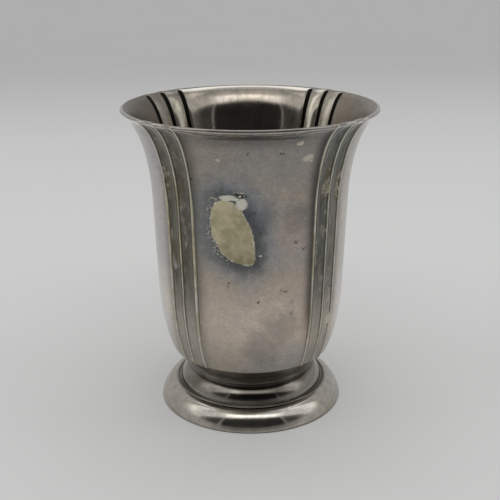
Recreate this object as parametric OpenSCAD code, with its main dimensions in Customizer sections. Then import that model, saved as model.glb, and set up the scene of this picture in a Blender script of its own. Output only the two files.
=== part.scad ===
// Footed julep cup: a sheet bowl with groups of flutes between plain panels and a flared lip,
// soldered to a hollow stepped foot. Millimetres, +Z up, origin at the centre of the face that
// the cup stands on. One panel faces -Y.

/* [Bowl] */
// Height of the lip above the table
cup_h = 105.4; // [94:0.2:130]
// Outer radius of the lip at the plain panels
lip_r = 43; // [39:0.5:50]
// Thickness of the bowl's sheet
wall_t = 1.3; // [0.8:0.1:1.6]
// Outer radius where the flare leaves the straight wall
waist_r = 33.45; // [30:0.05:36]
// Height of the flare, down from the lip
flare_h = 29.4; // [20:0.2:34]
// Stretch of the flare's quarter ellipse that would run on past the lip
flare_spare = 0.7; // [0.5:0.1:6]
// Outer radius where the straight wall meets the lower curve
belly_r = 32.25; // [29:0.05:34]
// Height of the lower curve, up from the heel edge
heel_h = 23; // [16:0.2:28]
// Stretch of the lower curve's quarter ellipse that would run on below the heel edge
heel_spare = 6; // [3:0.5:12]
// Outer radius of the heel edge, where the wall turns under
heel_r = 27.9; // [25.5:0.1:29]
// Height of the sloping underside between the seat and the heel edge
under_h = 5.55; // [3:0.05:7]
// Width of the flat underside that reaches past the foot's neck
seat_margin = 0.6; // [0.4:0.1:1.5]

/* [Flutes] */
// Plain panels around the bowl, with a group of flutes between each two
panels = 4; // [3:1:6]
// Flutes in each group
flutes = 2; // [1:1:3]
// Angle that one flute spans, ridge to ridge
flute_deg = 9.7; // [6:0.1:11]
// Angle of the cove between a panel and its outer ridge
cove_deg = 2.4; // [1.5:0.1:4]
// Height of the ridges above the panels
ridge_h = 0.45; // [0.2:0.05:0.8]
// Depth of a flute below its ridges
flute_d = 0.8; // [0.4:0.05:1.2]

/* [Foot] */
// Thickness of the foot's metal
foot_t = 1.2; // [0.8:0.1:1.6]
// Radius of the neck under the bowl
neck_r = 21.8; // [20:0.1:23.5]
// Height of the neck above the drum
neck_h = 2.2; // [1.9:0.05:4]
// Height of the neck bead's middle above the drum
neck_bead_rise = 0.8; // [0.5:0.05:1.4]
// Width of the seat that is soldered to the bowl, in from the neck
seat_w = 7.8; // [5:0.2:12]
// How far the drum stands out from the neck
drum_reach = 3.85; // [3.7:0.05:5]
// Height of the drum above the flange
drum_h = 5.4; // [4.8:0.05:7]
// Slope of the drum where its shoulder meets the neck
drum_slope = 23; // [20:1:30]
// Radius of the drum's shoulder arc
drum_shoulder = 4.3; // [3.6:0.1:4.6]
// Radius of the drum's side arc
drum_side = 10; // [8:0.1:12]
// How far the flange stands out from the drum
flange_reach = 7.2; // [6.6:0.1:9]
// Height of the flange above the table, where it meets the drum
flange_h = 7; // [6.4:0.05:9]
// Slope of the flange's upper face, down from the drum
flange_slope = 7; // [4:1:20]
// Radius of the flange's shoulder arc
flange_shoulder = 3.9; // [3:0.1:5]
// Radius of the flange's side arc
flange_side = 13.5; // [10:0.1:16]
// Slope at which each side arc turns into its shoulder arc
turn_deg = 38; // [34:1:44]
// Radius of the bead on the neck
neck_bead_r = 0.4; // [0.25:0.05:0.5]
// Radius of the bead on the flange
flange_bead_r = 0.4; // [0.25:0.05:0.5]
// Distance of the flange's bead from the drum
flange_bead_gap = 0.85; // [0.7:0.05:1.1]

/* [Solder seam] */
// Thickness of the solder between foot and bowl
seam_t = 0.4; // [0.2:0.05:0.8]

/* [Hidden] */

// Heights, from the table up
drum_z = flange_h + drum_h;
foot_z = drum_z + neck_h;
bowl_z = foot_z + seam_t;
heel_z = bowl_z + under_h;
belly_z = heel_z + heel_h;
lip_z = cup_h - wall_t / 2;
flare_z = cup_h - flare_h;

// Radii of the foot's steps, of the bowl's flat seat and of the opening in the foot's seat
drum_r = neck_r + drum_reach;
flange_r = drum_r + flange_reach;
seat_r = neck_r + seat_margin;
seat_bore_r = neck_r - seat_w;

// Middle line of the bowl's sheet: a straight wall with a quarter ellipse at each end
heel_mid = heel_r - wall_t / 2;
belly_mid = belly_r - wall_t / 2;
waist_mid = waist_r - wall_t / 2;
lip_mid = lip_r - wall_t / 2;
flare_run = lip_z - flare_z + flare_spare;
flare_end = asin((lip_z - flare_z) / flare_run);
flare_reach = (lip_mid - wall_radius(lip_z)) / (1 - cos(flare_end));
heel_run = heel_h + heel_spare;
heel_end = asin(heel_h / heel_run);
heel_reach = (wall_radius(heel_z) - heel_mid) / (1 - cos(heel_end));

// Angles around the bowl
pitch_deg = 360 / panels;
group_half = flutes * flute_deg / 2;
panel_deg = pitch_deg - 2 * (group_half + cove_deg);
front_deg = -90;

// Facets of the bowl's sheet
heel_steps = 6;
flare_steps = 9;
lip_steps = 6;
cove_steps = 2;
flute_steps = 6;
panel_steps = 8;

// Facets of one arc of the foot's outline, and of a full turn
arc_steps = 8;
$fn = 96;

// How far the slope is measured from a point, and the plain rim just below the heel edge
slope_step = 0.01;
heel_rim = 0.7;

// Straight wall, carried on as a cone above and below
function wall_radius(z) =
    belly_mid + (waist_mid - belly_mid) * (z - belly_z) / (flare_z - belly_z);

// Rise of a quarter ellipse that starts level with its run, and its reach at that point
function ellipse_rise(along, run, reach) = reach * (1 - sqrt(1 - pow(along / run, 2)));

// Radius of the sheet's middle line at height z
function middle_radius(z) =
    wall_radius(z)
    + (z > flare_z ? ellipse_rise(z - flare_z, flare_run, flare_reach) : 0)
    - (z < belly_z ? ellipse_rise(belly_z - z, heel_run, heel_reach) : 0);

function middle_slope(z) =
    (middle_radius(z + slope_step) - middle_radius(z - slope_step)) / (2 * slope_step);

// Unit vectors in the radius-height plane: out of the sheet, and up along it
function outward(z) = [1, -middle_slope(z)] / norm([1, middle_slope(z)]);
function upward(z) = [middle_slope(z), 1] / norm([1, middle_slope(z)]);

// Point of the sheet's surface: side is 1 for the outside and -1 for the inside
function surface_point(z, side) = [middle_radius(z), z] + side * wall_t / 2 * outward(z);

// Heights of the rings, closer together where the ellipses bend most
heights = concat(
    [for (i = [heel_steps : -1 : 0]) belly_z - heel_run * sin(heel_end * i / heel_steps)],
    [for (i = [0 : flare_steps]) flare_z + flare_run * sin(flare_end * i / flare_steps)]);

// The sloping underside meets the flat seat outside and the flat floor inside
edge = surface_point(heel_z, 1);
under_deg = atan2(edge.y - bowl_z, edge.x - seat_r);
floor_r = seat_r - wall_t * tan(under_deg / 2);

// Rings of the bowl's skin from the seat up the outside, over the lip and down to the floor.
// Each is [radius, height, share of the flutes' relief].
rings = concat(
    [[seat_r, bowl_z, 0]],
    [[edge.x - heel_rim * cos(under_deg), edge.y - heel_rim * sin(under_deg), 0]],
    [for (z = heights) let (p = surface_point(z, 1)) [p.x, p.y, 1]],
    [for (i = [1 : lip_steps - 1])
        let (
            a = 180 * i / lip_steps,
            p = [lip_mid, lip_z] + wall_t / 2 * (cos(a) * outward(lip_z) + sin(a) * upward(lip_z)))
        [p.x, p.y, 1]],
    [for (i = [len(heights) - 1 : -1 : 0])
        let (p = surface_point(heights[i], -1))
        [p.x, p.y, 1]],
    [[floor_r, bowl_z + wall_t, 0]]);

// Angles of one pitch, measured from the middle of its group of flutes
offsets = concat(
    [for (i = [0 : cove_steps - 1]) -group_half - cove_deg + cove_deg * i / cove_steps],
    [for (i = [0 : flutes * flute_steps - 1]) -group_half + flute_deg * i / flute_steps],
    [for (i = [0 : cove_steps - 1]) group_half + cove_deg * i / cove_steps],
    [for (i = [0 : panel_steps - 1]) group_half + cove_deg + panel_deg * i / panel_steps]);

// Position across a flute, from -1 at one ridge to 1 at the next
function across_flute(offset) =
    let (turns = (offset + group_half) / flute_deg)
    2 * (turns - floor(turns)) - 1;

// Relief of the sheet: hollow flutes between sharp ridges, and a cove down to each panel
function relief(offset) =
    abs(offset) < group_half ? ridge_h - flute_d * (1 - pow(across_flute(offset), 2))
    : abs(offset) < group_half + cove_deg ? ridge_h * pow(1 - (abs(offset) - group_half) / cove_deg, 2)
    : 0;

// Directions around the bowl, each [angle, relief]
directions = [
    for (p = [0 : panels - 1])
        for (offset = offsets)
            [front_deg + pitch_deg * (p + 0.5) + offset, relief(offset)]];

// Arc of an outline, from angle a0 to a1 around centre c
function arc(c, r, a0, a1) =
    [for (i = [0 : arc_steps]) let (a = a0 + (a1 - a0) * i / arc_steps) c + r * [cos(a), sin(a)]];

// Rounded step of the foot from height low upwards: a side arc that turns into a shoulder arc,
// which ends at a face that slopes up to the given point
function step_outline(r, point, slope, side, shoulder, low, inset) =
    let (
        shift = (side - shoulder) * [cos(turn_deg), sin(turn_deg)],
        face_r = r - side + shift.x + shoulder * sin(slope),
        face_z = point.y - (face_r - point.x) * tan(slope),
        side_c = [r - side, face_z - shoulder * cos(slope) - shift.y],
        start = asin((low - side_c.y) / (side - inset)))
    concat(
        arc(side_c, side - inset, start, turn_deg),
        arc(side_c + shift, shoulder - inset, turn_deg, 90 - slope));

function flange_outline(low, inset) =
    step_outline(
        flange_r, [drum_r, flange_h], flange_slope, flange_side, flange_shoulder, low, inset);

function drum_outline(low, inset) =
    step_outline(
        drum_r, [neck_r, drum_z], drum_slope, drum_side, drum_shoulder, low, inset);

function backwards(points) = [for (i = [len(points) - 1 : -1 : 0]) points[i]];

// Fluted bowl, one skin from the seat over the lip to the inner floor
module bowl() {
    n = len(directions);
    last = len(rings) - 1;
    points = concat(
        [for (ring = rings)
            for (d = directions)
                let (r = ring[0] + ring[2] * d[1])
                [r * cos(d[0]), r * sin(d[0]), ring[1]]],
        [[0, 0, rings[0][1]], [0, 0, rings[last][1]]]);
    seat_centre = n * (last + 1);
    floor_centre = seat_centre + 1;
    skin = [
        for (i = [0 : last - 1])
            for (j = [0 : n - 1])
                let (
                    k = (j + 1) % n,
                    low = i * n,
                    high = low + n)
                each [[low + j, high + j, high + k], [low + j, high + k, low + k]]];
    seat = [for (j = [0 : n - 1]) [seat_centre, j, (j + 1) % n]];
    inside_floor = [for (j = [0 : n - 1]) [floor_centre, last * n + (j + 1) % n, last * n + j]];
    color("#8f8b86")
        polyhedron(points, concat(skin, seat, inside_floor));
}

// Spun foot, hollow from below and open in the middle of its seat
module foot() {
    flange_bead = [drum_r + flange_bead_gap, flange_h - flange_bead_gap * tan(flange_slope)];
    neck_bead = [neck_r, drum_z + neck_bead_rise];
    outside = concat(
        flange_outline(0, 0),
        arc(flange_bead, flange_bead_r, -flange_slope, 180 - flange_slope),
        drum_outline(flange_h, 0),
        arc(neck_bead, neck_bead_r, -90, 90),
        [[neck_r, foot_z]]);
    inside = concat(
        flange_outline(0, foot_t),
        drum_outline(flange_h - foot_t, foot_t),
        [
            [neck_r - foot_t, drum_z - foot_t],
            [neck_r - foot_t, foot_z - foot_t],
            [seat_bore_r, foot_z - foot_t],
            [seat_bore_r, foot_z]
        ]);
    color("#86827c")
        rotate_extrude()
            polygon(concat(outside, backwards(inside)));
}

// Ring of solder between the foot's seat and the bowl, with a round edge at the neck
module solder_seam() {
    color("#6f6c68")
        rotate_extrude()
            translate([0, foot_z]) {
                translate([seat_bore_r, 0])
                    square([seat_w, seam_t]);
                translate([neck_r, seam_t / 2])
                    circle(r = seam_t / 2);
            }
}

bowl();
foot();
solder_seam();
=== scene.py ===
"""Looks of the footed julep cup: tarnished silver plate, on a pale floor in a light tent."""

import math
from types import SimpleNamespace

import bpy
import numpy as np
from mathutils import Matrix


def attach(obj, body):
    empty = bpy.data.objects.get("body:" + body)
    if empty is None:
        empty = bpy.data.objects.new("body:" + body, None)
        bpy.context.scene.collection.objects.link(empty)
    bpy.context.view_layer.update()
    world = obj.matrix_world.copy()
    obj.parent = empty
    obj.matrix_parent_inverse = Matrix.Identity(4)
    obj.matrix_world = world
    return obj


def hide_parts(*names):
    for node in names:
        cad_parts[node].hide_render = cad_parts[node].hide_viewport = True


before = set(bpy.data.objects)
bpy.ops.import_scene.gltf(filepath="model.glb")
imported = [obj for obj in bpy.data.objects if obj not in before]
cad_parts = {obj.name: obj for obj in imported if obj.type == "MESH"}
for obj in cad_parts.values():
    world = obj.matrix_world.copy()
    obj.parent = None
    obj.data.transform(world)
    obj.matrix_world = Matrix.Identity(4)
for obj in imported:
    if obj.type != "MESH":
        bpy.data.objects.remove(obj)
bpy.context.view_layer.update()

MM = 0.001

# Sizes of the bowl, in millimetres and degrees, as in the part's source
CUP_H, LIP_R, WALL_T = 105.4, 43.0, 1.3
WAIST_R, FLARE_H, FLARE_SPARE = 33.45, 29.4, 0.7
BELLY_R, HEEL_H, HEEL_SPARE, HEEL_R = 32.25, 23.0, 6.0, 27.9
UNDER_H, SEAT_MARGIN, HEEL_RIM = 5.55, 0.6, 0.7
PANELS, FLUTES, FLUTE_DEG, COVE_DEG = 4, 2, 9.7, 2.4
RIDGE_H, FLUTE_D = 0.45, 0.8
FRONT_DEG = -90

# Sizes of the foot and of the solder
FOOT_T, NECK_R, NECK_H, NECK_BEAD_RISE, SEAT_W = 1.2, 21.8, 2.2, 0.8, 7.8
DRUM_REACH, DRUM_H, DRUM_SLOPE = 3.85, 5.4, math.radians(23)
DRUM_SHOULDER, DRUM_SIDE = 4.3, 10.0
FLANGE_REACH, FLANGE_H, FLANGE_SLOPE = 7.2, 7.0, math.radians(7)
FLANGE_SHOULDER, FLANGE_SIDE, TURN = 3.9, 13.5, math.radians(38)
NECK_BEAD_R, FLANGE_BEAD_R, FLANGE_BEAD_GAP, SEAM_T = 0.4, 0.4, 0.85, 0.4

DRUM_Z = FLANGE_H + DRUM_H
FOOT_Z = DRUM_Z + NECK_H
BOWL_Z = FOOT_Z + SEAM_T
HEEL_Z = BOWL_Z + UNDER_H
BELLY_Z = HEEL_Z + HEEL_H
LIP_Z = CUP_H - WALL_T / 2
FLARE_Z = CUP_H - FLARE_H
DRUM_R = NECK_R + DRUM_REACH
FLANGE_R = DRUM_R + FLANGE_REACH
SEAT_R = NECK_R + SEAT_MARGIN
BORE_R = NECK_R - SEAT_W
PITCH = 360 / PANELS
GROUP_HALF = FLUTES * FLUTE_DEG / 2
COVE_END = GROUP_HALF + COVE_DEG

# Rings and directions of the meshes
HEEL_RINGS, WALL_RINGS, FLARE_RINGS, LIP_STEPS = 20, 17, 34, 10
FINE_DEG = 0.15
FOOT_COUNT, SEAM_COUNT, FLOOR_COUNT = 320, 240, 96

# How far the ridges are rounded outside and inside, in degrees
ROUND_OUT, ROUND_IN = 0.26, 0.5


# Shape of the bowl's sheet

def wall_radius(z):
    low, high = BELLY_R - WALL_T / 2, WAIST_R - WALL_T / 2
    return low + (high - low) * (z - BELLY_Z) / (FLARE_Z - BELLY_Z)


FLARE_RUN = LIP_Z - FLARE_Z + FLARE_SPARE
FLARE_END = math.asin((LIP_Z - FLARE_Z) / FLARE_RUN)
FLARE_REACH = (LIP_R - WALL_T / 2 - wall_radius(LIP_Z)) / (1 - math.cos(FLARE_END))
HEEL_RUN = HEEL_H + HEEL_SPARE
HEEL_END = math.asin(HEEL_H / HEEL_RUN)
HEEL_REACH = (wall_radius(HEEL_Z) - HEEL_R + WALL_T / 2) / (1 - math.cos(HEEL_END))


def middle_radius(z):
    r = wall_radius(z)
    if z > FLARE_Z:
        r += FLARE_REACH * (1 - math.sqrt(1 - ((z - FLARE_Z) / FLARE_RUN) ** 2))
    if z < BELLY_Z:
        r -= HEEL_REACH * (1 - math.sqrt(1 - ((BELLY_Z - z) / HEEL_RUN) ** 2))
    return r


def sheet_frame(z):
    """Point of the sheet's middle line, and the unit vectors out of it and up along it."""
    step = 0.01
    slope = (middle_radius(z + step) - middle_radius(z - step)) / (2 * step)
    size = math.hypot(1, slope)
    out, up = np.array([1, -slope]) / size, np.array([slope, 1]) / size
    return np.array([middle_radius(z), z]), out, up


def sheet_point(z, side):
    """Point of the sheet's surface: side is 1 for the outside and -1 for the inside."""
    middle, out, _ = sheet_frame(z)
    return middle + side * WALL_T / 2 * out


def bump_at(x, middle, width):
    return np.exp(-((x - middle) / width) ** 2)


def relief_table(spread):
    """Relief over one pitch, its ridges rounded by a normal curve of that spread in degrees."""
    step, reach = 0.02, 200
    offset = np.arange(-PITCH / 2, PITCH / 2, step)
    turns = (offset + GROUP_HALF) / FLUTE_DEG
    across = 2 * (turns - np.floor(turns)) - 1
    away = np.abs(offset)
    relief = np.where(
        away < GROUP_HALF,
        RIDGE_H - FLUTE_D * (1 - across ** 2),
        RIDGE_H * np.clip(1 - (away - GROUP_HALF) / COVE_DEG, 0, 1) ** 2)
    kernel = np.exp(-0.5 * (np.arange(-reach, reach + 1) * step / spread) ** 2)
    padded = np.pad(relief, reach, mode="wrap")
    return offset, np.convolve(padded, kernel / kernel.sum(), mode="valid")


def bowl_offsets():
    """Directions over one pitch from the middle of its flutes, close together at the ridges."""
    half = np.concatenate([
        np.arange(0, 1.5, FINE_DEG),
        np.linspace(1.5, FLUTE_DEG - 1.95, 13),
        np.arange(FLUTE_DEG - 1.8, FLUTE_DEG + 0.9, FINE_DEG),
        np.linspace(FLUTE_DEG + 1.0, COVE_END + 0.4, 7),
        np.linspace(COVE_END + 1.4, PITCH / 2, 17)])
    return np.concatenate([-half[:0:-1], half[:-1]])


def bend(a, b, c, steps):
    """Points that round the corner b between a and c."""
    a, b, c = np.array(a, float), np.array(b, float), np.array(c, float)
    share = np.linspace(0, 1, steps + 1)
    return [(1 - t) ** 2 * a + 2 * t * (1 - t) * b + t * t * c for t in share]


def toward(a, b, distance):
    """Point that lies that far from a on the way to b."""
    a, b = np.array(a, float), np.array(b, float)
    return a + (b - a) * distance / np.linalg.norm((b - a)[:2])


def corner(before, at, after, distance, steps):
    return bend(toward(at, before, distance), at, toward(at, after, distance), steps)


def inner_swell(z):
    """Outward shift of the inner skin, which thins the flare and turns the lip more tightly."""
    t = np.clip((z - 99.9) / 2.6, 0, 1)
    return 0.65 * bump_at(z, 93, 7) - 0.13 * t * t * (3 - 2 * t)


def bowl_rings():
    """Rings of the skin from the seat over the lip to the floor.

    Each is its radius, its height, its share of the relief, whether it is inside, and its share
    of the painted shade on the lip.
    """
    heel = [
        BELLY_Z - HEEL_RUN * math.sin(HEEL_END * i / HEEL_RINGS) for i in range(HEEL_RINGS, 0, -1)]
    flare = [
        FLARE_Z + FLARE_RUN * math.sin(FLARE_END * i / FLARE_RINGS)
        for i in range(1, FLARE_RINGS + 1)]
    heights = heel + list(np.linspace(BELLY_Z, FLARE_Z, WALL_RINGS)) + flare

    edge = sheet_point(HEEL_Z, 1)
    under = math.atan2(edge[1] - BOWL_Z, edge[0] - SEAT_R)
    rim = edge - HEEL_RIM * np.array([math.cos(under), math.sin(under)])
    seat = np.array([SEAT_R, BOWL_Z, 0])
    rim = np.array([*rim, 0])
    edge = np.array([*edge, 1])
    outside = [np.array([*sheet_point(z, 1), 1]) for z in heights[1:]]
    rings = [np.array([r, BOWL_Z, 0]) for r in (7, BORE_R, 19)]
    rings += corner((0, BOWL_Z, 0), seat, rim, 0.5, 4)
    rings += [seat + (rim - seat) * t for t in (0.25, 0.5, 0.75, 0.97)]
    rings += corner(rim, edge, outside[0], 0.22, 4)
    rings += outside

    middle, out, up = sheet_frame(LIP_Z)
    lip = np.linspace(0, math.pi, LIP_STEPS + 1)[1:-1]
    lip_start = len(rings)
    for a in lip:
        point = middle + WALL_T / 2 * (math.cos(a) * out + math.sin(a) * up)
        rings.append(np.array([*point, 1]))
    lip_end = len(rings)

    floor = np.array([SEAT_R - WALL_T * math.tan(under / 2), BOWL_Z + WALL_T, 0])
    inner = [np.array([*sheet_point(z, -1), 1]) for z in heights[::-1]]
    inner = [ring + np.array([inner_swell(z), 0, 0]) for ring, z in zip(inner, heights[::-1])]
    rings += inner[:-3]
    rings += corner(inner[-4], inner[-1], floor, 1.6, 6)
    rings += [inner[-1] + (floor - inner[-1]) * t for t in (0.4, 0.55)]
    rings += corner(inner[-1], floor, (0, floor[1], 0), 2.4, 6)
    rings += [np.array([r, floor[1], 0]) for r in (16, 12, 8, 4)]
    # Share of the lip's rounding that gets painted shade in front
    brim = np.zeros(len(rings))
    brim[lip_start:lip_end] = bump_at(np.degrees(lip), 80, 24)
    return [(*ring, i >= lip_end, brim[i]) for i, ring in enumerate(rings)]


def revolve_points(radius, z, angle):
    return np.stack([radius * np.cos(angle), radius * np.sin(angle), np.full(len(angle), z)], -1)


def revolve_faces(rings, count):
    i, j = np.meshgrid(np.arange(rings - 1), np.arange(count), indexing="ij")
    k = (j + 1) % count
    low, high = i * count, (i + 1) * count
    return np.stack([low + j, low + k, high + k, high + j], -1).reshape(-1, 4)


def make_mesh(name, points, faces, attributes):
    mesh = bpy.data.meshes.new(name)
    places = [tuple(p) for p in np.asarray(points) * MM]
    mesh.from_pydata(places, [], [tuple(map(int, f)) for f in faces])
    for key, values in attributes.items():
        attribute = mesh.attributes.new(key, "FLOAT", "POINT")
        attribute.data.foreach_set("value", np.asarray(values, np.float32))
    mesh.validate()
    mesh.shade_smooth()
    mesh.update()
    piece = bpy.data.objects.new(name, mesh)
    bpy.context.scene.collection.objects.link(piece)
    return piece


def waves(angle, z):
    """Slight unevenness of hand-finished sheet, in millimetres."""
    a = np.radians(angle)
    return (0.016 * np.sin(3 * a + 0.07 * z + 0.6)
            + 0.012 * np.sin(7 * a - 0.11 * z + 2.1)
            + 0.010 * np.sin(12 * a + 0.19 * z + 4.0))


def flute_drift(angle, z):
    """Turn in degrees of the flutes behind on the left, which lean further round at the lip."""
    return 4.0 * bump_at(angle, 147, 18) * np.clip((z - 72) / 32, 0, 1)


# Marks of the bowl's mesh that its material reads, with their values at the middle of the seat
# and of the floor: ridges lightened by wear and a painted highlight, painted shade in the coves,
# the inner grooves and under the bowl, painted dark lines of shade beside the ridges, flutes,
# inner skin, and painted shade on the lip
BOWL_MARKS = {
    "ridge": (0, 0), "hollow": (1, 0), "line": (0, 0), "flute": (0, 0), "inside": (0, 1),
    "brim": (0, 0)}


def make_bowl():
    offsets = bowl_offsets()
    offset = np.tile(offsets, PANELS)
    middles = FRONT_DEG + PITCH * (np.arange(PANELS) + 0.5)
    angle = np.repeat(middles, len(offsets)) + offset
    outer = np.interp(offset, *relief_table(ROUND_OUT))
    inner = np.interp(offset, *relief_table(ROUND_IN))
    ridges = -GROUP_HALF + FLUTE_DEG * np.arange(FLUTES + 1)
    near = np.abs(offset[:, None] - ridges[None]).min(1)
    away = np.abs(offset)
    panel_side = np.clip((away - GROUP_HALF) / 0.2, 0, 1)
    at_panel = away > GROUP_HALF - FLUTE_DEG / 2
    in_flute = np.clip((GROUP_HALF - away) / 0.5, 0, 1)
    cove = panel_side * bump_at(away, GROUP_HALF + 1.0, 4.2)
    broad = 0.6 - 0.6 * np.cos(np.radians(angle))
    ones = np.ones(len(angle))

    points = []
    marks = {key: [] for key in BOWL_MARKS}
    rings = bowl_rings()
    for r, z, share, is_inside, lip_shade_share in rings:
        radius = r + share * (inner if is_inside else outer) + share * waves(angle, z)
        points.append(revolve_points(radius, z, np.radians(angle + flute_drift(angle, z))))
        outside_share = share * (0 if is_inside else 1)
        lip_fade = np.clip((CUP_H - 0.6 - z) / 1.0, 0, 1)
        ridge_fade = np.clip((CUP_H - 0.15 - z) / 0.5, 0, 1)
        groove_fade = np.clip((CUP_H - 0.25 - z) / 0.4, 0, 1)
        # Width of the cream stripe along each ridge, which is wear and a painted highlight, and of
        # the painted dark line beside it
        wide = 0.5 + broad * (0.42 * np.clip((86 - z) / 10, 0, 1) - 0.12)
        flared = 0.15 * (1.2 - broad) * np.clip((z - 86) / 8, 0, 1)
        crest = np.where(at_panel, wide, 0.46) + flared
        # Painted shade: a dark line beside each ridge
        line = np.where(
            panel_side > 0, bump_at(near, crest + 0.6, 0.65), bump_at(near, crest + 0.45, 0.4))
        # Painted shade: in the grooves inside, in the coves beside the flutes outside, and all over
        # the underside
        if is_inside:
            hollow = share * groove_fade * bump_at(near, 0, 1.25)
        else:
            hollow = share * lip_fade * cove if share else ones
        marks["ridge"].append(outside_share * ridge_fade * bump_at(near, 0, crest))
        marks["hollow"].append(hollow)
        marks["line"].append(outside_share * lip_fade * line)
        marks["flute"].append(share * lip_fade * in_flute)
        marks["inside"].append(ones * float(is_inside))
        marks["brim"].append(ones * lip_shade_share)

    count = len(angle)
    faces = revolve_faces(len(rings), count).tolist()
    last = (len(rings) - 1) * count
    seat_centre = len(rings) * count
    floor_centre = seat_centre + 1
    faces += [[seat_centre, (j + 1) % count, j] for j in range(count)]
    faces += [[floor_centre, last + j, last + (j + 1) % count] for j in range(count)]
    centres = np.array([[0, 0, rings[0][1]], [0, 0, rings[-1][1]]])
    return make_mesh("bowl_silver", np.concatenate(points + [centres]), faces, {
        key: np.append(np.concatenate(values), BOWL_MARKS[key]) for key, values in marks.items()})


# Shape of the foot

def arc(centre, radius, start, end, steps):
    angles = np.linspace(start, end, steps + 1)
    return [np.array(centre) + radius * np.array([math.cos(a), math.sin(a)]) for a in angles]


def step_outline(r, point, slope, side, shoulder, low, inset, steps):
    """Rounded step of the foot: a side arc that turns into a shoulder arc."""
    shift = (side - shoulder) * np.array([math.cos(TURN), math.sin(TURN)])
    face_r = r - side + shift[0] + shoulder * math.sin(slope)
    face_z = point[1] - (face_r - point[0]) * math.tan(slope)
    centre = np.array([r - side, face_z - shoulder * math.cos(slope) - shift[1]])
    start = math.asin((low - centre[1]) / (side - inset))
    return (arc(centre, side - inset, start, TURN, steps)[:-1]
            + arc(centre + shift, shoulder - inset, TURN, math.pi / 2 - slope, steps))


def flange_outline(low, inset, steps):
    return step_outline(
        FLANGE_R, (DRUM_R, FLANGE_H), FLANGE_SLOPE, FLANGE_SIDE, FLANGE_SHOULDER, low, inset, steps)


def drum_outline(low, inset, steps):
    return step_outline(
        DRUM_R, (NECK_R, DRUM_Z), DRUM_SLOPE, DRUM_SIDE, DRUM_SHOULDER, low, inset, steps)


def thicken(points, gap):
    """The same outline with points no further apart than gap."""
    made = [points[0]]
    for a, b in zip(points, points[1:]):
        n = max(1, math.ceil(np.linalg.norm(b - a) / gap))
        made += [a + (b - a) * t for t in np.linspace(0, 1, n + 1)[1:]]
    return made


def foot_profile():
    """Closed outline of the foot's section, and each point's wear, painted shade and place inside
    or out.
    """
    slope = math.tan(FLANGE_SLOPE)
    bead = np.array([DRUM_R + FLANGE_BEAD_GAP, FLANGE_H - FLANGE_BEAD_GAP * slope])
    neck_bead = np.array([NECK_R, DRUM_Z + NECK_BEAD_RISE])
    flange = flange_outline(0, 0, 18)
    inner_flange = flange_outline(0, FOOT_T, 9)
    drum = drum_outline(FLANGE_H, 0, 12)
    inner_drum = drum_outline(FLANGE_H - FOOT_T, FOOT_T, 7)
    bead_arc = arc(bead, FLANGE_BEAD_R, -FLANGE_SLOPE, math.pi - FLANGE_SLOPE, 10)
    neck_arc = arc(neck_bead, NECK_BEAD_R, -math.pi / 2, math.pi / 2, 8)
    outside = corner(inner_flange[0], flange[0], flange[2], 0.25, 3)
    outside += flange[2:] + thicken([flange[-1], bead_arc[0]], 0.4)[1:-1] + bead_arc
    outside += corner(bead_arc[-1], drum[0], drum[2], 0.12, 3) + drum[2:-1]
    outside += corner(drum[-2], drum[-1], neck_arc[0], 0.2, 3) + neck_arc
    outside += [np.array(p) for p in (
        (NECK_R, FOOT_Z - 0.4), (NECK_R, FOOT_Z - 0.05), (NECK_R - 0.06, FOOT_Z))]
    inside = [np.array(p) for p in (
        (NECK_R - 3, FOOT_Z), (BORE_R + 0.1, FOOT_Z), (BORE_R, FOOT_Z - 0.1),
        (BORE_R, FOOT_Z - FOOT_T + 0.1), (BORE_R + 0.1, FOOT_Z - FOOT_T))]
    top = np.array([NECK_R - FOOT_T, FOOT_Z - FOOT_T])
    low = np.array([NECK_R - FOOT_T, DRUM_Z - FOOT_T])
    inside += corner(inside[-1], top, low, 0.5, 4) + corner(top, low, inner_drum[-1], 0.3, 3)
    inside += inner_drum[::-1][1:-1]
    inside += corner(inner_drum[1], inner_drum[0], inner_flange[-1], 0.5, 3)
    inside += inner_flange[::-1][1:-1]
    inside += [inner_flange[0] + np.array([0.0, 0.1]), inner_flange[0] + np.array([0.1, 0.0])]
    profile = np.array(outside + inside)
    inner = np.concatenate([np.zeros(len(outside)), np.ones(len(inside))])

    def close(point, width):
        return np.exp(-(np.linalg.norm(profile - np.array(point), axis=1) / width) ** 2)

    # Painted shade in the crease at the drum's foot, around the bead and at the neck under the
    # bowl, and a painted contact shadow along the bottom edge
    crease_shade = 0.65 * close(drum[0], 0.45)
    crease_shade += 0.1 * close(bead + np.array([FLANGE_BEAD_R + 0.1, 0]), 0.35)
    crease_shade += 1.1 * close(bead + np.array([0, 0.2]), 0.5)
    crease_shade += close((NECK_R + 0.2, DRUM_Z), 1.1) + close((NECK_R, FOOT_Z), 1.3)
    crease_shade += 0.9 * close(flange[0] + np.array([0, 0.1]), 0.35)
    wear = 0.12 * close(neck_bead + np.array([NECK_BEAD_R, 0.1]), 0.35)
    return profile, np.clip(wear, 0, 1), np.clip(crease_shade, 0, 1) * (1 - inner), inner


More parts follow.
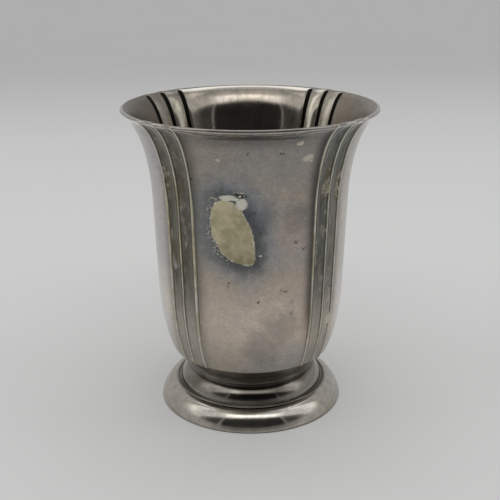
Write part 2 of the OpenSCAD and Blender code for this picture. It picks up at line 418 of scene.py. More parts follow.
def make_foot():
    """Foot whose tarnish reaches out over the flange, furthest and most sharply in front, where its
    reach is partly a painted dark reflection of the bowl.
    """
    profile, wear, crease_shade, inner = foot_profile()
    count = FOOT_COUNT
    angle = np.arange(count) * 2 * math.pi / count
    front = np.degrees(np.arctan2(np.cos(angle), -np.sin(angle)))
    facing = bump_at(front, -8, 42)
    reach = 26.75 + 2.95 * facing + 2.0 * bump_at(np.abs(front), 170, 40)
    blur = 2.2 - 1.6 * facing
    # Painted shade strongest in front and toward the right, weakest behind on the left
    shade_by_turn = 0.5 + 0.4 * np.cos(np.radians(front - 25))
    points, tarnish = [], []
    for r, z in profile:
        least = float(z > FLANGE_H - 0.05)
        tarnish.append(np.clip((reach + blur / 3 - r) / blur, least, 1))
        lift = 0.0 if z < 0.3 else 0.012
        uneven = np.sin(2 * angle + 0.5 * z) + 0.7 * np.sin(5 * angle + 1.3 + 0.3 * z)
        points.append(revolve_points(r + lift * uneven, z, angle))
    faces = revolve_faces(len(profile), count).tolist()
    last = (len(profile) - 1) * count
    faces += [[last + j, last + (j + 1) % count, (j + 1) % count, j] for j in range(count)]
    return make_mesh("foot_silver", np.concatenate(points), faces, {
        "ridge": np.repeat(wear, count),
        "hollow": np.outer(crease_shade, shade_by_turn).ravel(),
        "tarnish": np.concatenate(tarnish),
        "inside": np.repeat(inner, count),
    })


def make_seam():
    """Solder squeezed out a little unevenly round the neck."""
    count = SEAM_COUNT
    angle = np.arange(count) * 2 * math.pi / count
    uneven = (0.05 * np.sin(5 * angle + 0.4)
              + 0.04 * np.sin(11 * angle + 1.9)
              + 0.03 * np.sin(23 * angle + 0.2))
    half = SEAM_T / 2
    section = [(BORE_R, 0.02, 0), (BORE_R, SEAM_T - 0.02, 0), (NECK_R - 0.6, SEAM_T, 0)]
    section += [(NECK_R + 0.17 * math.sin(a), half + half * math.cos(a), math.sin(a))
                for a in np.linspace(0.15, math.pi - 0.15, 9)]
    section += [(NECK_R - 0.6, 0, 0)]
    points = [revolve_points(r + share * uneven, FOOT_Z + z, angle) for r, z, share in section]
    faces = revolve_faces(len(section), count)[:, ::-1].tolist()
    last = (len(section) - 1) * count
    faces += [[j, (j + 1) % count, last + (j + 1) % count, last + j] for j in range(count)]
    return make_mesh("seam_solder", np.concatenate(points), faces, {})


# Marks on the bowl, unrolled at this radius. The residue's outline goes along and up the panel in
# millimetres. Each spot is its angle from the front in degrees, its height, and its half sizes.

UNROLL = 33.0
RESIDUE = (
    (-12.2, 81.1), (-9.5, 81.9), (-6.9, 81.3), (-3.9, 78.1), (-1.5, 73.5), (0.0, 67.7),
    (-0.1, 62.6), (-0.9, 60.6), (-3.2, 60.3), (-7.2, 61.6), (-10.8, 64.2), (-13.6, 69.7),
    (-13.9, 74.8), (-13.3, 78.6),
)
CRUST_SPOTS = (
    ((-6.9, 80.6), (1.9, 2.0)),
    ((-13.6, 82.5), (3.0, 1.0)),
    ((-10.2, 82.2), (1.4, 0.6)),
)
BROKEN_SPOT = ((-8.4, 83.7), (2.2, 1.0))
BURNT_SPOT = ((-7.9, 83.4), (2.3, 1.1))
ROSY_SPOT = ((20.0, 69.0), (8.0, 9.0))
SMUDGE_SPOTS = (
    ((24.0, 76.0), (5.5, 7.0)),
    ((6.0, 76.0), (3.6, 6.0)),
    ((-27.0, 64.0), (2.6, 3.0)),
    ((17.0, 38.0), (8.0, 9.0)),
    ((4.0, 30.0), (9.0, 9.0)),
)
PALE_SPOTS = (
    ((20.1, 100.0), (1.1, 0.9)),
    ((26.4, 94.7), (1.7, 1.2)),
    ((28.4, 93.7), (0.7, 0.5)),
    ((53.6, 35.6), (1.5, 2.3)),
    ((-17.7, 94.8), (0.8, 0.5)),
    ((3.1, 63.5), (0.5, 0.4)),
)
DARK_SPOTS = (
    ((-3.3, 97.2), (0.5, 0.8)),
    ((12.6, 97.0), (1.1, 0.6)),
    ((-14.5, 53.6), (0.8, 1.2)),
    ((2.2, 47.6), (0.8, 0.8)),
    ((16.3, 50.8), (1.7, 1.0)),
    ((21.5, 46.5), (0.7, 0.6)),
    ((22.6, 42.8), (1.0, 0.9)),
    ((23.5, 67.2), (1.3, 0.7)),
    ((28.5, 64.5), (0.8, 0.6)),
)
STAIN_SPOTS = (
    ((42.2, 84.9), (1.5, 6.0)),
    ((53.6, 84.0), (1.6, 4.5)),
    ((42.7, 69.6), (1.6, 2.1)),
    ((43.9, 75.2), (1.0, 1.6)),
    ((-52.3, 86.9), (1.9, 3.6)),
    ((-61.6, 81.6), (2.0, 3.0)),
)
BROWN_SPOTS = (
    ((-43.7, 84.5), (2.2, 5.0)),
    ((-52.0, 86.0), (2.4, 5.0)),
    ((-50.0, 62.0), (1.5, 4.0)),
    ((42.8, 84.0), (2.2, 8.0)),
    ((53.4, 84.0), (2.0, 6.0)),
)

# Colours of the bowl. Tarnish is bright, warm and cool.
BOWL_TARNISH = ((0.49, 0.44, 0.375), (0.40, 0.352, 0.30), (0.345, 0.325, 0.318))
BOWL_MEAN = (0.40, 0.362, 0.321)
MURK = (0.13, 0.115, 0.095)
SLATE_DARK, SLATE_PALE = (0.07, 0.075, 0.068), (0.145, 0.15, 0.138)
FLUTE_GLEAM, FLUTE_BROWN = (0.47, 0.43, 0.36), (0.13, 0.105, 0.07)
LIP_HIGHLIGHT, LIP_SHADE = (0.58, 0.565, 0.535), (0.045, 0.041, 0.036)
EDGE_SHADE, GROOVE_SHADE = (0.032, 0.031, 0.026), (0.006, 0.006, 0.005)
CREAM_DULL, CREAM_BRIGHT = (0.42, 0.395, 0.29), (0.74, 0.70, 0.59)

# Colours of the marks
FILM_DARK, FILM_PALE = (0.36, 0.31, 0.185), (0.57, 0.50, 0.34)
CRUST_DARK, CRUST_PALE = (0.56, 0.53, 0.45), (0.78, 0.75, 0.66)
HALO, BURNT, SMUDGE = (0.052, 0.06, 0.068), (0.018, 0.019, 0.018), (0.09, 0.09, 0.09)
SPECK, PALE = (0.06, 0.042, 0.031), (0.60, 0.53, 0.44)

# Tints, by which a colour is multiplied
SIDE_TINT, SIDE_TINT_LOW = (0.97, 0.985, 1.04), (0.93, 0.98, 1.085)
BEIGE_TINT, TOP_TINT, INSIDE_TINT = (1.07, 1.0, 0.945), (0.985, 1.0, 1.025), (1.06, 1.0, 0.9)
SLATE_LEFT, SLATE_RIGHT = (1.1, 1.0, 0.87), (1.03, 1.0, 0.96)
YELLOW_TINT, ROSY_TINT, BLUE_TINT = (0.96, 0.88, 0.72), (1.12, 1.02, 1.0), (0.76, 0.86, 0.98)

# Colours of the foot and of the solder
FOOT_TARNISH = ((0.58, 0.545, 0.485), (0.465, 0.43, 0.38), (0.44, 0.417, 0.384))
FOOT_DARK, FOOT_PALE = (0.13, 0.114, 0.095), (0.27, 0.254, 0.228)
FOOT_CLOUD, FOOT_PATCH, FOOT_DARK_REFLECTION = (0.14, 0.13, 0.112), (0.07, 0.061, 0.051), (0.06, 0.052, 0.043)
FOOT_INSIDE, FOOT_SHADE, FOOT_WEAR = (0.2, 0.17, 0.14), (0.03, 0.025, 0.02), (0.7, 0.66, 0.57)
SOLDER_DARK, SOLDER_PALE = (0.06, 0.057, 0.05), (0.2, 0.19, 0.18)


# Shader graphs

class Graph:
    """Short calls that add shader nodes and return their output sockets."""

    def __init__(self, tree):
        self.tree = tree
        tree.nodes.clear()

    def put(self, socket, value):
        if isinstance(value, bpy.types.NodeSocket):
            self.tree.links.new(value, socket)
        elif isinstance(value, tuple) and len(value) == 3 and socket.type == "RGBA":
            socket.default_value = (*value, 1)
        else:
            socket.default_value = value

    def node(self, kind, settings=None, **inputs):
        made = self.tree.nodes.new(kind)
        for key, value in (settings or {}).items():
            setattr(made, key, value)
        for key, value in inputs.items():
            self.put(made.inputs[key], value)
        return made

    def math(self, operation, a, b=0.0):
        made = self.node("ShaderNodeMath", {"operation": operation})
        for socket, value in zip(made.inputs, (a, b)):
            self.put(socket, value)
        return made.outputs[0]

    def add(self, *values):
        total = values[0]
        for value in values[1:]:
            total = self.math("ADD", total, value)
        return total

    def times(self, *values):
        total = values[0]
        for value in values[1:]:
            total = self.math("MULTIPLY", total, value)
        return total

    def largest(self, *values):
        total = values[0]
        for value in values[1:]:
            total = self.math("MAXIMUM", total, value)
        return total

    def less(self, value):
        """What is left of 1 without the value."""
        return self.math("SUBTRACT", 1.0, value)

    def smooth(self, value, low, high, start=0.0, end=1.0):
        made = self.node("ShaderNodeMapRange", {"interpolation_type": "SMOOTHSTEP"})
        for socket, x in zip(made.inputs, (value, low, high, start, end)):
            self.put(socket, x)
        return made.outputs[0]

    def band(self, value, start, full, leave, end):
        """1 between full and leave, falling to 0 at start and end."""
        return self.times(self.smooth(value, start, full), self.smooth(value, end, leave))

    def blend(self, kind, factor, a, b):
        made = self.node("ShaderNodeMix", {"data_type": "RGBA", "blend_type": kind})
        for index, value in ((0, factor), (6, a), (7, b)):
            self.put(made.inputs[index], value)
        return made.outputs[2]

    def mix(self, factor, a, b):
        return self.blend("MIX", factor, a, b)

    def tint(self, a, b):
        return self.blend("MULTIPLY", 1.0, a, b)

    def tinted(self, factor, colour, tint):
        return self.mix(factor, colour, self.tint(colour, tint))

    def fade(self, factor, a, b):
        made = self.node("ShaderNodeMix", {"data_type": "FLOAT"})
        for index, value in ((0, factor), (2, a), (3, b)):
            self.put(made.inputs[index], value)
        return made.outputs[0]

    def place(self, vector, scale=(1, 1, 1), shift=(0, 0, 0)):
        return self.node(
            "ShaderNodeMapping", Vector=vector, Scale=scale, Location=shift).outputs[0]

    def length(self, vector):
        made = self.node("ShaderNodeVectorMath", {"operation": "LENGTH"}, Vector=vector)
        return made.outputs["Value"]

    def along(self, vector, direction):
        made = self.node("ShaderNodeVectorMath", {"operation": "DOT_PRODUCT"})
        for socket, value in zip(made.inputs, (vector, direction)):
            self.put(socket, value)
        return made.outputs["Value"]

    def cells(self, vector, scale):
        return self.node("ShaderNodeTexVoronoi", Vector=vector, Scale=scale).outputs

    def noise(self, vector, scale, detail=2.0, rough=0.5, distortion=0.0):
        made = self.node(
            "ShaderNodeTexNoise", Vector=vector, Scale=scale, Detail=detail, Roughness=rough,
            Distortion=distortion)
        return made.outputs[0]

    def bump(self, height, strength, distance):
        made = self.node("ShaderNodeBump", Strength=strength, Distance=distance, Height=height)
        return made.outputs[0]

    def attribute(self, name):
        return self.node("ShaderNodeAttribute", {"attribute_name": name}).outputs["Fac"]

    def position(self):
        return self.node("ShaderNodeTexCoord").outputs["Object"]

    def split(self, vector):
        return self.node("ShaderNodeSeparateXYZ", Vector=vector).outputs

    def join(self, x, y, z):
        return self.node("ShaderNodeCombineXYZ", X=x, Y=y, Z=z).outputs[0]

    def grey(self, level):
        return self.join(level, level, level)


def new_material(name):
    material = bpy.data.materials.new(name)
    material.use_nodes = True
    return material, Graph(material.node_tree)


def finish_material(graph, **inputs):
    shader = graph.node("ShaderNodeBsdfPrincipled", **inputs)
    output = graph.node("ShaderNodeOutputMaterial")
    graph.tree.links.new(shader.outputs[0], output.inputs["Surface"])


def in_millimetres(g, vector):
    return [g.times(value, 1 / MM) for value in g.split(vector)]


def silver_base(g, at, tarnish, rough, grainy):
    """Colour, roughness and height of tarnished plate, shared by the bowl and the foot."""
    bright, warm, cool = tarnish
    broad = g.noise(at, 45, 2, 0.5, 0.5)
    blotch = g.noise(g.place(at, shift=(0.31, 0.12, 0.44)), 120, 4, 0.6, 0.3)
    cloud = g.noise(g.place(at, shift=(0.7, 0.2, 0.1)), 420, 3, 0.6)
    around = g.noise(g.place(at, scale=(1, 1, 22)), 150, 3, 0.6)
    upright = g.noise(g.place(at, scale=(14, 14, 1)), 90, 3, 0.6)
    hair = g.noise(g.place(at, scale=(1, 1, 3), shift=(0.1, 0.3, 0.7)), 700, 2, 0.6)
    grain = g.noise(g.place(at, shift=(0.6, 0.4, 0.2)), 1700, 2, 0.6)

    def mottled(colour, pattern, low, high, dark, pale):
        return g.tint(colour, g.mix(g.smooth(pattern, low, high), dark, pale))

    colour = g.mix(g.smooth(broad, 0.38, 0.62), warm, cool)
    colour = g.mix(g.times(g.smooth(blotch, 0.45, 0.7), 0.5), colour, bright)
    colour = mottled(colour, cloud, 0.3, 0.7, (0.9, 0.9, 0.905), (1.1, 1.09, 1.07))
    colour = mottled(colour, around, 0.3, 0.7, (0.96, 0.96, 0.96), (1.04, 1.04, 1.04))
    speckled = mottled(colour, hair, 0.25, 0.75, (0.9, 0.9, 0.905), (1.1, 1.1, 1.095))
    speckled = mottled(speckled, grain, 0.25, 0.75, (0.83, 0.83, 0.84), (1.17, 1.17, 1.16))
    colour = g.mix(grainy, colour, speckled)
    streaks = g.add(g.times(around, 0.6), g.times(upright, 0.4))
    roughness = g.add(
        g.times(g.add(blotch, -0.5), 0.1), g.times(g.add(streaks, -0.5), 0.12), rough)
    height = g.add(g.times(blotch, 0.5), g.times(streaks, 0.5))
    return colour, roughness, height


def spot(g, flat, place, size, edge, core=0.75):
    """Mask of an uneven spot, full within that share of its half sizes."""
    s, z = math.radians(place[0]) * UNROLL, place[1]
    scale = (1 / size[0], 1 / size[1], 1)
    away = g.length(g.place(flat, scale=scale, shift=(-s * scale[0], -z * scale[1], 0)))
    return g.smooth(g.add(away, edge), 1.1, core)


def any_spot(g, flat, spots, edge, core=0.75):
    return g.largest(0.0, *[spot(g, flat, *one, edge, core) for one in spots])


def residue_distance(g, flat):
    """Distance out of the residue's outline in millimetres, negative inside it."""
    away = -100.0
    for a, b in zip(RESIDUE, RESIDUE[1:] + RESIDUE[:1]):
        size = math.hypot(b[0] - a[0], b[1] - a[1])
        out = ((a[1] - b[1]) / size, (b[0] - a[0]) / size, 0.0)
        beyond = g.add(g.along(flat, out), -(a[0] * out[0] + a[1] * out[1]))
        away = g.largest(away, beyond)
    return away


# Material of the bowl, in steps that share its coordinates, mesh marks and noises

def bowl_surface(g):
    """What the steps share: s runs round the bowl from the front, x, y, z and s in millimetres."""
    m = SimpleNamespace(**{key: g.attribute(key) for key in BOWL_MARKS})
    m.outside = g.less(m.inside)
    m.at = g.position()
    m.x, m.y, m.z = in_millimetres(g, m.at)
    m.s = g.times(g.math("ARCTAN2", m.x, g.times(m.y, -1.0)), UNROLL)
    m.flat = g.join(m.s, m.z, 0.0)
    m.fine = g.noise(g.place(m.at, shift=(0.2, 0.6, 0.1)), 1500, 3, 0.6)
    m.coarse = g.noise(g.place(m.at, shift=(0.4, 0.1, 0.8)), 300, 3, 0.55)
    m.grime = g.noise(g.place(m.at, shift=(0.9, 0.5, 0.3)), 200, 4, 0.65)
    m.drips = g.noise(g.place(m.at, scale=(9, 9, 1), shift=(0.3, 0.2, 0.9)), 60, 3, 0.6)
    m.streaked = g.add(g.times(m.grime, 0.5), g.times(m.drips, 0.5))
    m.uneven, m.wavy, m.lumpy = [g.add(noise, -0.5) for noise in (m.fine, m.grime, m.coarse)]
    across = g.math("ABSOLUTE", m.x)
    m.beside = g.smooth(across, 24.0, 31.0)
    m.middle = g.smooth(across, 18.0, 11.0)
    m.right = g.smooth(m.x, -15.0, 15.0)
    # Inside tone by side: lighter in the middle, darker on the left and a little darker on the
    # right
    m.worn = g.times(g.smooth(m.x, -16.0, -32.0, 1.0, 0.5), g.smooth(m.x, 18.0, 34.0, 1.1, 0.92))
    m.murk = g.times(m.inside, g.smooth(m.streaked, 0.45, 0.62))
    m.groove = g.times(g.smooth(m.hollow, 0.15, 0.5), m.inside)
    return m


def panel_colour(g, m, colour):
    """Tone and tint of the plain sheet by height and side, with painted light and shade."""
    calm = g.fade(m.inside, g.smooth(m.z, 66.0, 50.0, 0.32, 0.42), 0.6)
    colour = g.mix(calm, colour, BOWL_MEAN)

    # Painted light and shade outside: lighter low on the belly, darker up the flare, a painted dark
    # band below the lip and a painted dark line on it in front, a painted bright line along the
    # lip, and the side panels lighter
    heel = g.smooth(m.z, 22.0, 36.0, 1.05, 1.38)
    flare = g.smooth(m.z, 60.0, 95.0, 1.0, 0.8)
    below_lip = g.times(g.band(m.z, 97.5, 101.5, 103.2, 103.6), g.fade(m.middle, 0.2, 0.3))
    lip_line = g.times(g.band(m.z, 101.7, 102.0, 102.5, 102.8), m.middle, 0.5)
    lip_glow = g.times(g.band(m.z, 103.3, 103.6, 104.4, 104.7), 0.8)
    level = g.times(
        g.fade(g.smooth(m.z, 38.0, 60.0), heel, 1.0), flare, g.less(below_lip), g.less(lip_line),
        g.add(1.0, lip_glow), g.fade(m.beside, 1.0, 1.45))
    # Painted light inside: lighter deeper down, darker toward the lip and at the bottom
    inside_light = g.times(g.smooth(m.z, 18.0, 24.0, 0.8, 1.0), g.smooth(m.z, 70.0, 88.0, 1.45, 0.8))
    level = g.fade(m.inside, level, g.times(m.worn, inside_light))
    colour = g.tint(colour, g.grey(level))

    side = g.mix(g.smooth(m.z, 58.0, 44.0), SIDE_TINT, SIDE_TINT_LOW)
    colour = g.tinted(g.times(m.beside, m.outside), colour, side)
    beige = g.times(
        m.outside, g.smooth(m.z, 66.0, 52.0), g.smooth(m.z, 24.0, 36.0), g.less(m.beside),
        g.less(m.flute))
    colour = g.tinted(beige, colour, BEIGE_TINT)
    colour = g.tinted(g.times(m.outside, g.smooth(m.z, 84.0, 94.0)), colour, TOP_TINT)
    colour = g.tinted(g.times(m.inside, 0.5), colour, INSIDE_TINT)
    return g.mix(g.times(m.murk, 0.35), colour, MURK)


def flute_colour(g, m, colour):
    """Flutes dark outside and gleaming inside, and the lip with its painted highlight and painted
    shade.
    """
    upper = g.fade(g.smooth(m.z, 26.0, 58.0), 0.2, 0.97)
    rubbed = g.times(g.smooth(m.x, 22.0, 27.0), g.smooth(m.z, 92.0, 82.0), 0.28)
    dark = g.times(m.flute, m.outside, upper, g.smooth(m.streaked, 0.3, 0.5), g.less(rubbed))
    slate = g.mix(g.smooth(m.drips, 0.35, 0.65), SLATE_DARK, SLATE_PALE)
    colour = g.mix(dark, colour, g.tint(slate, g.mix(m.right, SLATE_LEFT, SLATE_RIGHT)))
    gleam = g.times(m.flute, m.inside, g.less(g.times(m.murk, 0.7)))
    colour = g.mix(gleam, colour, g.tint(FLUTE_GLEAM, g.grey(m.worn)))
    brown = any_spot(g, m.flat, BROWN_SPOTS, g.times(m.wavy, 2.5))
    colour = g.mix(g.times(m.outside, m.flute, brown, 0.6), colour, FLUTE_BROWN)

    # Painted highlight along the top of the lip behind, and painted shade on the lip in front
    lip = g.times(g.band(m.z, 104.0, 104.5, 105.0, 105.3), g.fade(m.beside, 0.6, 0.1))
    colour = g.mix(g.times(lip, g.smooth(m.y, -10.0, 10.0)), colour, LIP_HIGHLIGHT)
    return g.mix(g.times(m.brim, m.middle, 0.95), colour, LIP_SHADE)


def ridge_colour(g, m, colour):
    """Painted shade in the coves, grooves, under the bowl and beside the ridges, and the ridges
    lightened by wear and a painted highlight.
    """
    low_left, low_right = g.smooth(m.z, 24.0, 50.0, 0.5, 1.0), g.smooth(m.z, 28.0, 44.0, 0.1, 1.0)
    cove = g.times(m.hollow, g.fade(m.right, low_left, low_right), g.fade(m.right, 0.56, 0.8))
    line = g.times(m.line, g.smooth(m.z, 24.0, 40.0, 0.45, 1.0), g.fade(m.right, 0.85, 0.93))
    side_panel = g.times(m.beside, g.less(m.flute))
    edge = g.times(g.largest(cove, line), m.outside, g.fade(side_panel, 1.0, 0.3))
    # Painted shade in the coves, beside the ridges and under the bowl, weaker on the side panels,
    # and in the grooves inside
    colour = g.mix(edge, colour, EDGE_SHADE)
    colour = g.mix(m.groove, colour, GROOVE_SHADE)
    rubbed = g.largest(
        g.smooth(m.grime, 0.35, 0.65),
        g.smooth(m.z, 86.0, 96.0, 0.0, 0.7), g.smooth(m.z, 36.0, 26.0, 0.0, 0.7))
    # The cream along the ridges is wear and a painted highlight, brighter near the lip and the heel
    cream = g.mix(rubbed, CREAM_DULL, CREAM_BRIGHT)
    yellow = g.times(g.less(m.right), g.band(m.z, 50.0, 60.0, 82.0, 90.0))
    cream = g.tinted(yellow, cream, YELLOW_TINT)
    return g.mix(g.times(m.ridge, 0.9), colour, cream)


def mark_masks(g, m):
    """Masks of the residue with its crust and halo, and of the smaller marks."""
    away = residue_distance(g, m.flat)
    ragged = g.add(away, g.times(m.lumpy, 1.4), g.times(m.uneven, 1.5))
    rim = g.times(g.band(ragged, -0.35, -0.1, 0.15, 0.4), g.smooth(m.fine, 0.47, 0.6), 0.8)
    crust = any_spot(g, m.flat, CRUST_SPOTS, g.add(m.uneven, g.times(m.lumpy, 0.8)))
    broken = spot(g, m.flat, *BROKEN_SPOT, g.times(m.uneven, 0.8))
    broken = g.times(broken, g.smooth(m.fine, 0.5, 0.56))
    flakes = g.times(
        g.smooth(m.s, -6.0, -12.0, 0.12, 1.0), g.band(away, -0.6, 0.2, 0.5, 2.6),
        g.smooth(m.fine, 0.54, 0.6))
    stain = any_spot(g, m.flat, STAIN_SPOTS, g.times(m.wavy, 2.5))
    stain = g.times(stain, g.smooth(m.coarse, 0.42, 0.58), g.smooth(m.fine, 0.4, 0.6, 0.15, 0.6))
    edge = g.add(g.times(m.uneven, 1.4), g.times(m.lumpy, 1.6))
    pale = any_spot(g, m.flat, PALE_SPOTS, edge, 0.7)
    pale = g.times(pale, g.smooth(m.fine, 0.36, 0.56, 0.7, 1.0))
    specks = any_spot(g, m.flat, DARK_SPOTS, g.times(m.uneven, 0.6))
    specks = g.times(specks, g.smooth(m.fine, 0.47, 0.57))
    cells = g.cells(m.at, 110)
    chosen = g.smooth(g.split(cells["Color"])[0], 0.6, 0.65)
    pit = g.times(g.smooth(cells["Distance"], 0.07, 0.04), chosen)
    halo = g.smooth(g.add(away, g.times(m.lumpy, 4.0), g.times(m.wavy, 4.0)), 6.0, 0.4)
    halo = g.times(
        halo, g.smooth(m.s, -15.0, -10.0, 0.6, 1.0), g.smooth(m.z, 57.0, 61.0, 0.8, 1.0))
    masks = {
        "film": g.smooth(ragged, 0.12, -0.12),
        "crust": g.largest(crust, broken, rim),
        "burnt": spot(g, m.flat, *BURNT_SPOT, g.times(m.lumpy, 1.6)),
        "halo": halo,
        "blue": g.smooth(g.add(away, g.times(m.wavy, 6.0)), 12.0, 3.0),
        "rosy": spot(g, m.flat, *ROSY_SPOT, g.times(m.wavy, 1.5), 0.2),
        "smudge": any_spot(g, m.flat, SMUDGE_SPOTS, g.times(m.wavy, 1.5), 0.3),
        "pale": g.largest(pale, flakes, stain),
        "pit": pit,
        "speck": g.largest(pit, specks),
    }
    return SimpleNamespace(**{key: g.times(m.outside, mask) for key, mask in masks.items()})


def mark_colour(g, m, marks, colour):
    """Marks laid over the metal, from the faint ones up to the residue and its crust."""
    film = g.smooth(g.add(g.times(m.grime, 0.7), g.times(m.coarse, 0.3)), 0.36, 0.62)
    film = g.mix(film, FILM_DARK, FILM_PALE)
    film = g.tint(film, g.mix(m.fine, (0.86, 0.86, 0.84), (1.1, 1.1, 1.1)))
    film = g.tint(film, g.mix(g.smooth(m.z, 63.0, 72.0), (0.72, 0.71, 0.69), (1.0, 1.0, 1.0)))
    colour = g.tinted(marks.rosy, colour, ROSY_TINT)
    colour = g.mix(g.times(marks.smudge, 0.3), colour, SMUDGE)
    colour = g.tinted(marks.blue, colour, BLUE_TINT)
    colour = g.mix(g.times(marks.halo, 0.82), colour, HALO)
    colour = g.mix(g.times(marks.burnt, 0.8), colour, BURNT)
    colour = g.mix(g.times(marks.speck, 0.8), colour, SPECK)
    colour = g.mix(g.times(marks.pale, 0.9), colour, PALE)
    colour = g.mix(marks.film, colour, film)
    return g.mix(marks.crust, colour, g.mix(m.fine, CRUST_DARK, CRUST_PALE))


def bowl_material():
    material, g = new_material("bowl_plate")
    m = bowl_surface(g)
    marks = mark_masks(g, m)
    matt = g.largest(marks.film, marks.crust, g.times(marks.pale, 0.7))

    colour, roughness, height = silver_base(
        g, m.at, BOWL_TARNISH, 0.25, g.fade(m.inside, 0.95, 0.15))
    for step in (panel_colour, flute_colour, ridge_colour):
        colour = step(g, m, colour)
    colour = mark_colour(g, m, marks, colour)

    polished = g.fade(m.beside, g.add(roughness, -0.14), 0.34)
    roughness = g.fade(m.inside, roughness, polished)
    roughness = g.fade(g.times(m.outside, g.smooth(m.z, 99.0, 103.5)), roughness, 0.05)
    roughness = g.fade(g.largest(matt, m.groove), roughness, 0.55)

    height = g.add(
        g.times(height, g.fade(m.inside, 0.3, 0.1)), g.times(marks.film, 0.5),
        g.times(marks.crust, g.add(0.6, g.times(m.fine, 0.5))), g.times(marks.pit, -0.5))
    finish_material(g, **{
        "Base Color": colour, "Metallic": g.less(matt), "Roughness": roughness,
        "Normal": g.bump(height, 0.15, 0.1 * MM)})
    return material


def foot_material():
    material, g = new_material("foot_plate")
    at = g.position()
    x, y, z = in_millimetres(g, at)
    ridge, hollow = g.attribute("ridge"), g.attribute("hollow")
    tarnish, inside = g.attribute("tarnish"), g.attribute("inside")
    patchy = g.noise(g.place(at, shift=(0.15, 0.8, 0.4)), 90, 4, 0.6, 0.5)
    drum_front = g.times(g.smooth(z, 8.5, 9.5), g.smooth(y, -12.0, -18.0))
    patch = g.times(drum_front, g.band(x, -9.0, -2.0, 7.0, 14.0))
    # Painted dark reflection of the bowl over the tarnish on the front of the flange
    ring = g.times(tarnish, g.smooth(y, -27.8, -29.2))

    colour, roughness, height = silver_base(g, at, FOOT_TARNISH, 0.12, 0.3)
    dark = g.mix(g.smooth(patchy, 0.35, 0.65), FOOT_DARK, FOOT_PALE)
    colour = g.mix(g.times(tarnish, 0.85), colour, dark)
    colour = g.mix(g.times(g.smooth(patchy, 0.55, 0.75), 0.35), colour, FOOT_CLOUD)
    colour = g.mix(g.times(patch, 0.85), colour, FOOT_PATCH)
    colour = g.mix(g.times(ring, 0.7), colour, FOOT_DARK_REFLECTION)
    colour = g.mix(g.times(inside, 0.5), colour, FOOT_INSIDE)
    # Painted shade in the creases, under the bowl and along the bottom edge
    colour = g.mix(g.times(hollow, 0.9), colour, FOOT_SHADE)
    colour = g.mix(g.times(ridge, 0.7), colour, FOOT_WEAR)
    finish_material(g, **{
        "Base Color": colour, "Metallic": 1.0, "Roughness": roughness,
        "Normal": g.bump(height, 0.1, 0.05 * MM)})
    return material


def solder_material():
    material, g = new_material("solder")
    lumps = g.noise(g.position(), 700, 4, 0.6)
    finish_material(g, **{
        "Base Color": g.mix(lumps, SOLDER_DARK, SOLDER_PALE), "Metallic": 1.0,
        "Roughness": g.smooth(lumps, 0, 1, 0.4, 0.65), "Normal": g.bump(lumps, 0.4, 0.2 * MM)})
    return material


# Pieces

for make, material, node, slot in (
        (make_bowl, bowl_material, "bowl", "bowl_plate"),
        (make_foot, foot_material, "foot", "foot_plate"),
        (make_seam, solder_material, "solder_seam", "solder")):
    piece = make()
    piece.data.materials.append(material())
    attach(piece, "root")
    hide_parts(node)


# Stage: a pale floor and the light of a tent that is open in front

# Radii of the floor's rings in metres, and its tone near the cup, in front and far behind: painted
# light near the cup, a painted shadow in front and darker far behind
FLOOR_RADII = (0.0001, 0.05, 0.12, 0.3, 0.8, 2.5, 8.0)
FLOOR_SHADE, FLOOR_FRONT, FLOOR_FAR = 0.70, 0.53, 0.487

# Levels of the tent's walls, lit sides, roof, bright roof strips, dark front, opening and its hem
WALL, WALL_LOW, SIDE, ROOF, ROOF_FRONT = 0.54, 0.22, 1.4, 0.73, 1.0
STRIP_FRONT, STRIP_BACK = 2.6, 1.75
FRONT, OPENING, HEM, HORIZON = 0.09, 0.036, 1.05, 0.45

# Half width of the opening and the lean of its sides, in degrees, and the light's colour
OPEN_TURN, OPEN_LEAN = 38.5, -3
TENT = (0.985, 0.995, 0.985)


def make_floor():
    angle = np.arange(FLOOR_COUNT) * 2 * math.pi / FLOOR_COUNT
    points = np.concatenate([revolve_points(r, 0.0, angle) for r in FLOOR_RADII])
    faces = revolve_faces(len(FLOOR_RADII), FLOOR_COUNT)[:, ::-1].tolist()
    mesh = bpy.data.meshes.new("floor")
    mesh.from_pydata([tuple(p) for p in points], [], faces)
    floor = bpy.data.objects.new("floor", mesh)
    bpy.context.scene.collection.objects.link(floor)
    material, g = new_material("floor")
    at = g.position()
    _, y, _ = g.split(at)
    # The floor's tone is painted light and shade: lighter near the cup, a painted shadow in front
    # and darker far behind
    shade = g.fade(g.smooth(y, -0.12, -0.4), FLOOR_SHADE, FLOOR_FRONT)
    shade = g.fade(g.smooth(y, 0.15, 0.95), shade, FLOOR_FAR)
    cloud = g.mix(g.noise(at, 6, 2, 0.5), (0.97, 0.97, 0.965), (1.0, 1.0, 0.995))
    finish_material(g, **{
        "Base Color": g.tint(g.grey(shade), cloud), "Roughness": 0.9, "Specular IOR Level": 0.1})
    mesh.materials.append(material)


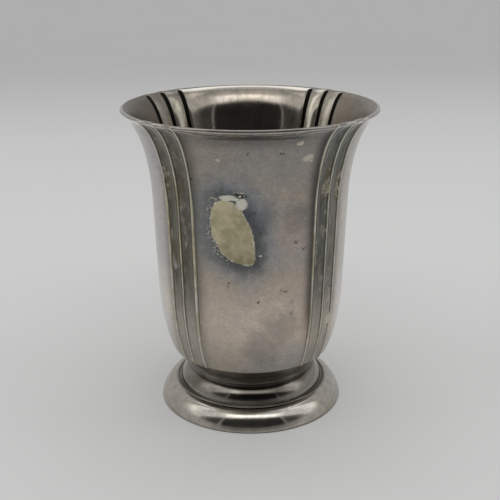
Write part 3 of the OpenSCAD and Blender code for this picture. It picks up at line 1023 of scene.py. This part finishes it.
def make_world():
    """Light by direction: turn from the front, rise from the floor, and over from front to back."""
    world = bpy.data.worlds.new("tent")
    bpy.context.scene.world = world
    world.use_nodes = True
    g = Graph(world.node_tree)
    x, y, z = g.split(g.node("ShaderNodeTexCoord").outputs["Generated"])
    front = g.times(y, -1.0)
    wide = g.math("ABSOLUTE", x)
    turn = g.math("ABSOLUTE", g.math("ARCTAN2", x, front))
    rise = g.math("ARCSINE", z)
    over = g.math("ARCTAN2", z, front)

    def ramp(value, start, end):
        return g.smooth(value, math.radians(start), math.radians(end))

    low = g.times(ramp(turn, 75, 20), ramp(rise, 16, 8))
    side = g.times(ramp(turn, 62, 76), ramp(turn, 103, 86), ramp(rise, 8, 26), ramp(rise, 68, 56))
    roof_front = g.times(ramp(over, 42, 44), ramp(over, 80, 60), ramp(turn, 85, 70))
    strip_front = g.times(ramp(over, 36, 44), ramp(over, 62, 48), g.smooth(wide, 0.62, 0.35))
    strip_back = g.times(ramp(over, 92, 100), ramp(over, 123, 113), g.smooth(wide, 0.58, 0.35))
    dark = g.times(ramp(over, 46, 35), ramp(rise, 7, 16), ramp(turn, 80, 52))

    lean = g.smooth(rise, math.radians(40), math.radians(8), 0.0, math.radians(OPEN_LEAN))
    edge = g.add(turn, lean)
    opening = g.times(
        ramp(edge, OPEN_TURN + 0.5, OPEN_TURN - 0.5), ramp(over, 43, 35), ramp(rise, 9, 15))
    hem = g.times(
        ramp(edge, OPEN_TURN - 0.2, OPEN_TURN + 0.2), ramp(edge, OPEN_TURN + 1.1, OPEN_TURN + 0.7),
        ramp(over, 46, 41), ramp(rise, 9, 14))

    level = g.fade(low, WALL, WALL_LOW)
    for mask, light in (
            (side, SIDE), (ramp(rise, 56, 68), ROOF), (roof_front, ROOF_FRONT),
            (strip_front, STRIP_FRONT), (strip_back, STRIP_BACK), (dark, FRONT),
            (opening, OPENING), (hem, HEM), (ramp(rise, 3, 0.5), HORIZON)):
        level = g.fade(mask, level, light)
    background = g.node("ShaderNodeBackground", Color=TENT, Strength=level)
    output = g.node("ShaderNodeOutputWorld")
    g.tree.links.new(background.outputs[0], output.inputs["Surface"])


make_floor()
make_world()


# Camera at the photograph's place: its focal length and width in pixels, its place in millimetres,
# how far it looks down, its roll, and the turn of the cup, in degrees

FOCAL_PX, PHOTO_PX, SENSOR_MM = 904.21, 500, 36
CAMERA_AT = (-0.15, -299.636, 158.107)
LOOK_DOWN, ROLL, CUP_TURN = 19.122, -0.2, 2.36


def make_camera():
    data = bpy.data.cameras.new("camera")
    data.lens, data.sensor_width = FOCAL_PX / PHOTO_PX * SENSOR_MM, SENSOR_MM
    data.clip_start, data.clip_end = 0.01, 50
    camera = bpy.data.objects.new("camera", data)
    bpy.context.scene.collection.objects.link(camera)
    turn = Matrix.Rotation(math.radians(-CUP_TURN), 4, "Z")
    place = Matrix.Translation([v * MM for v in CAMERA_AT])
    aim = Matrix.Rotation(math.radians(90 - LOOK_DOWN), 4, "X")
    roll = Matrix.Rotation(math.radians(ROLL), 4, "Z")
    camera.matrix_world = turn @ place @ aim @ roll
    bpy.context.scene.camera = camera


make_camera()
bpy.context.scene.view_settings.view_transform = "Standard"

bpy.context.view_layer.update()
